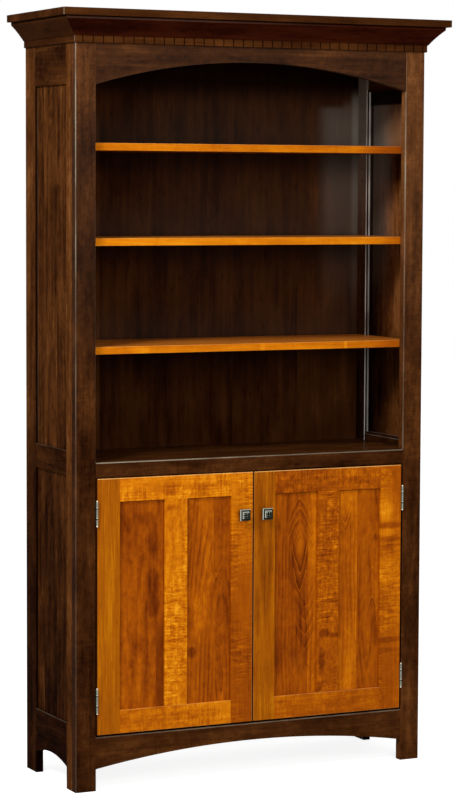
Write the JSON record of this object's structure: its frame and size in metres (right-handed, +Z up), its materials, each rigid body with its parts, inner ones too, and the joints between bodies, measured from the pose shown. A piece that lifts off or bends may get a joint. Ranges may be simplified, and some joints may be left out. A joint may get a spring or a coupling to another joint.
{
  "type": "bookcase with cabinet doors",
  "caption": "Tall wooden bookcase with open adjustable shelves over a cabinet with framed doors, arched rails, panelled sides and a dentil crown.",
  "frame": {"origin": "on the floor, under the middle of the overall bounding box", "axes": "+Z up; the doors and the open bays face -Y; +X to the right of someone facing the doors"},
  "size_m": [1.192, 0.418, 2.134],
  "materials": {
    "dark_stained_wood": "dark brown stain under satin lacquer",
    "amber_wood": "amber stain under semi-gloss lacquer, figured grain",
    "pewter": "antique pewter with rubbed edges",
    "hinge_nickel": "satin antique nickel",
    "zinc": "zinc plated",
    "catch_plastic": "matt brown"
  },
  "bodies": {
    "case": {"left_side_front_stile": "dark_stained_wood", "left_side_rear_stile": "dark_stained_wood", "left_side_top_rail": "dark_stained_wood", "left_side_mid_rail": "dark_stained_wood", "left_side_bottom_rail": "dark_stained_wood", "left_side_upper_panel": "dark_stained_wood", "left_side_lower_panel": "dark_stained_wood", "right_side_front_stile": "dark_stained_wood", "right_side_rear_stile": "dark_stained_wood", "right_side_top_rail": "dark_stained_wood", "right_side_mid_rail": "dark_stained_wood", "right_side_bottom_rail": "dark_stained_wood", "right_side_upper_panel": "dark_stained_wood", "right_side_lower_panel": "dark_stained_wood", "side_panel_stops": "dark_stained_wood", "face_frame_left_stile": "dark_stained_wood", "face_frame_right_stile": "dark_stained_wood", "face_frame_top_rail": "dark_stained_wood", "face_frame_mid_rail": "dark_stained_wood", "face_frame_bottom_rail": "dark_stained_wood", "top_board": "dark_stained_wood", "crown_front": "dark_stained_wood", "crown_left": "dark_stained_wood", "crown_right": "dark_stained_wood", "dentil_front": "dark_stained_wood", "dentil_left": "dark_stained_wood", "dentil_right": "dark_stained_wood", "sub_top": "dark_stained_wood", "fixed_shelf": "dark_stained_wood", "cabinet_floor": "dark_stained_wood", "back_panel": "dark_stained_wood", "shelf_pins": "zinc", "hinge_frame_leaves": "hinge_nickel", "hinge_pins": "hinge_nickel", "catch_block": "dark_stained_wood", "door_catch": "catch_plastic"},
    "upper_shelf_body": {"upper_shelf": "amber_wood"},
    "middle_shelf_body": {"middle_shelf": "amber_wood"},
    "lower_shelf_body": {"lower_shelf": "amber_wood"},
    "cabinet_shelf_body": {"cabinet_shelf": "amber_wood"},
    "left_door": {"left_door_hinge_stile": "amber_wood", "left_door_lock_stile": "amber_wood", "left_door_top_rail": "amber_wood", "left_door_bottom_rail": "amber_wood", "left_door_mullion": "amber_wood", "left_door_panels": "amber_wood", "left_door_knob": "pewter", "left_door_knob_screw": "zinc", "left_door_hinge_leaves": "hinge_nickel", "left_door_strike": "zinc"},
    "right_door": {"right_door_hinge_stile": "amber_wood", "right_door_lock_stile": "amber_wood", "right_door_top_rail": "amber_wood", "right_door_bottom_rail": "amber_wood", "right_door_mullion": "amber_wood", "right_door_panels": "amber_wood", "right_door_knob": "pewter", "right_door_knob_screw": "zinc", "right_door_hinge_leaves": "hinge_nickel", "right_door_strike": "zinc"}
  },
  "joints": [
    {"name": "upper_shelf_lift", "type": "slide", "parent": "case", "child": "upper_shelf_body", "axis": [0, 0, 1], "range_m": [0, 0.222]},
    {"name": "middle_shelf_lift", "type": "slide", "parent": "case", "child": "middle_shelf_body", "axis": [0, 0, 1], "range_m": [0, 0.222]},
    {"name": "lower_shelf_lift", "type": "slide", "parent": "case", "child": "lower_shelf_body", "axis": [0, 0, 1], "range_m": [0, 0.222]},
    {"name": "cabinet_shelf_lift", "type": "slide", "parent": "case", "child": "cabinet_shelf_body", "axis": [0, 0, 1], "range_m": [0, 0.074]},
    {"name": "left_door_hinge", "type": "hinge", "parent": "case", "child": "left_door", "pos_m": [-0.47775, -0.1566, 0.509], "axis": [0, 0, -1], "range_deg": [0, 170]},
    {"name": "right_door_hinge", "type": "hinge", "parent": "case", "child": "right_door", "pos_m": [0.47775, -0.1566, 0.509], "axis": [0, 0, 1], "range_deg": [0, 170]}
  ]
}
